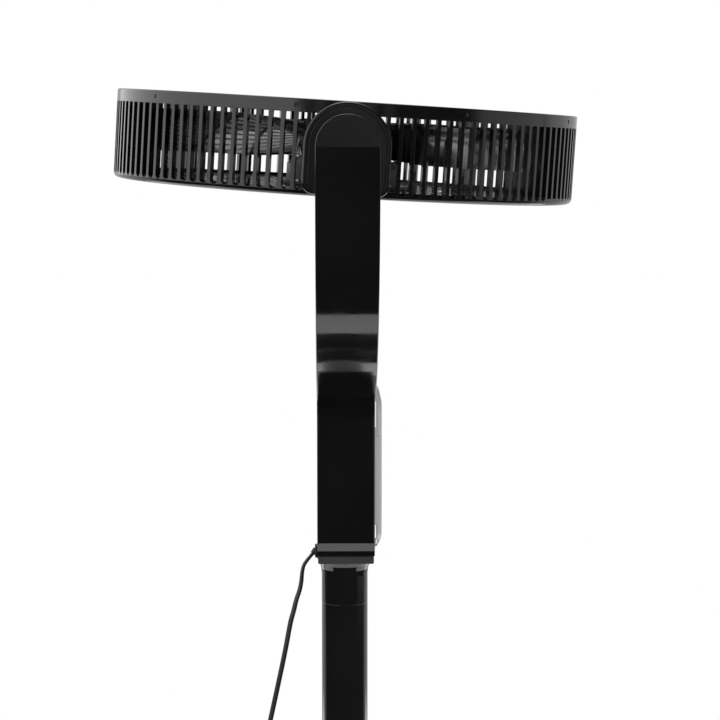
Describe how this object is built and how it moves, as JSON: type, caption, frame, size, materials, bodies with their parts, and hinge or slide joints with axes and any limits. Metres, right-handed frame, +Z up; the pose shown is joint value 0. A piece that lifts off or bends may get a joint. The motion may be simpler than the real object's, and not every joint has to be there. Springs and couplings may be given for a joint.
{
  "type": "pedestal fan",
  "caption": "Pedestal fan with a slotted drum head tilting in a half-ring yoke, a control housing, a telescopic pole and a round base.",
  "frame": {"origin": "centre of the base where it stands on the floor, on the pole axis", "axes": "+Z up along the pole; the front of the fan faces -Y; the mains lead leaves the housing towards +Y; the tilt axis runs along X"},
  "size_m": [0.512, 0.6462, 1.1852],
  "materials": {
    "gloss_black": "glossy",
    "satin_black": "satin",
    "silver_trim": "satin chrome",
    "blade_black": "glossy",
    "tube_black": "gloss paint",
    "steel": "brushed",
    "copper": "enamelled copper wire",
    "circuit_board": "solder mask",
    "white_plastic": "satin",
    "rubber_black": "matt",
    "brass_pin": "plated",
    "lens_smoke": "clear smoke"
  },
  "bodies": {
    "stand": {"base_cover": "gloss_black", "base_weight": "steel", "base_bolts": "steel", "base_socket": "steel", "column_trim": "gloss_black", "rubber_feet": "rubber_black", "lower_tube": "tube_black", "tube_bush": "white_plastic", "cord_lead": "rubber_black", "cord_coil": "rubber_black", "cord_tail": "rubber_black", "cord_tie": "satin_black", "plug_body": "satin_black", "plug_pins": "brass_pin"},
    "collar": {"lock_collar": "satin_black"},
    "mast": {"upper_tube": "tube_black", "tube_foot": "white_plastic", "neck_collar": "tube_black", "neck_post": "steel", "sun_gear": "white_plastic"},
    "housing": {"yoke_outer": "gloss_black", "yoke_inner": "gloss_black", "yoke_strap": "steel", "pivot_pins": "steel", "friction_discs": "rubber_black", "head_wire": "rubber_black", "housing_shell": "gloss_black", "housing_base": "satin_black", "neck_bush": "white_plastic", "fascia": "gloss_black", "display_lens": "lens_smoke", "control_board": "circuit_board", "power_board": "circuit_board", "bezel": "silver_trim", "swing_motor": "steel", "cable_gland": "rubber_black", "housing_screws": "steel"},
    "pinion": {"swing_pinion": "white_plastic"},
    "head": {"drum_shell": "gloss_black", "front_grille": "gloss_black", "rim_screws": "satin_black", "grille_badge": "gloss_black", "rear_grille": "gloss_black", "motor_case": "satin_black", "case_screws": "steel", "stator_core": "steel", "stator_windings": "copper", "shaft_bearings": "steel", "stator_holder": "satin_black", "motor_board": "circuit_board", "pivot_pods": "gloss_black", "tilt_bushes": "white_plastic"},
    "rotor": {"magnet_rotor": "steel", "motor_shaft": "steel", "blade_rotor": "blade_black", "blade_nut": "satin_black"},
    "power_key": {"power_button": "satin_black"},
    "speed_key": {"speed_button": "satin_black"},
    "swing_key": {"swing_button": "satin_black"},
    "timer_key": {"timer_button": "satin_black"}
  },
  "joints": [
    {"name": "height_slide", "type": "slide", "parent": "stand", "child": "mast", "axis": [0, 0, 1], "range_m": [-0.22, 0], "deforming": ["cord_lead"]},
    {"name": "collar_twist", "type": "hinge", "parent": "stand", "child": "collar", "pos_m": [0, 0, 0.406], "axis": [0, 0, 1], "range_deg": [0, 120]},
    {"name": "oscillation", "type": "hinge", "parent": "mast", "child": "housing", "pos_m": [0, 0, 0.712], "axis": [0, 0, 1], "range_deg": [-40, 40]},
    {"name": "pinion_spin", "type": "hinge", "parent": "housing", "child": "pinion", "pos_m": [0.022, 0, 0.725], "axis": [0, 0, 1], "range_deg": [-70, 70]},
    {"name": "head_tilt", "type": "hinge", "parent": "housing", "child": "head", "pos_m": [0, -0.0011, 1.1315], "axis": [1, 0, 0], "range_deg": [-3.5, 96.5]},
    {"name": "blade_spin", "type": "hinge", "parent": "head", "child": "rotor", "pos_m": [0, -0.0011, 1.1315], "axis": [0, -0.061, 0.9981], "continuous": true},
    {"name": "power_press", "type": "slide", "parent": "housing", "child": "power_key", "axis": [0, 1, 0], "range_m": [0, 0.0012], "stiffness_N_per_m": 600},
    {"name": "speed_press", "type": "slide", "parent": "housing", "child": "speed_key", "axis": [0, 1, 0], "range_m": [0, 0.0012], "stiffness_N_per_m": 600},
    {"name": "swing_press", "type": "slide", "parent": "housing", "child": "swing_key", "axis": [0, 1, 0], "range_m": [0, 0.0012], "stiffness_N_per_m": 600},
    {"name": "timer_press", "type": "slide", "parent": "housing", "child": "timer_key", "axis": [0, 1, 0], "range_m": [0, 0.0012], "stiffness_N_per_m": 600}
  ],
  "couplings": [
    {"joint": "pinion_spin", "follows": "oscillation", "ratio": 1.75}
  ]
}
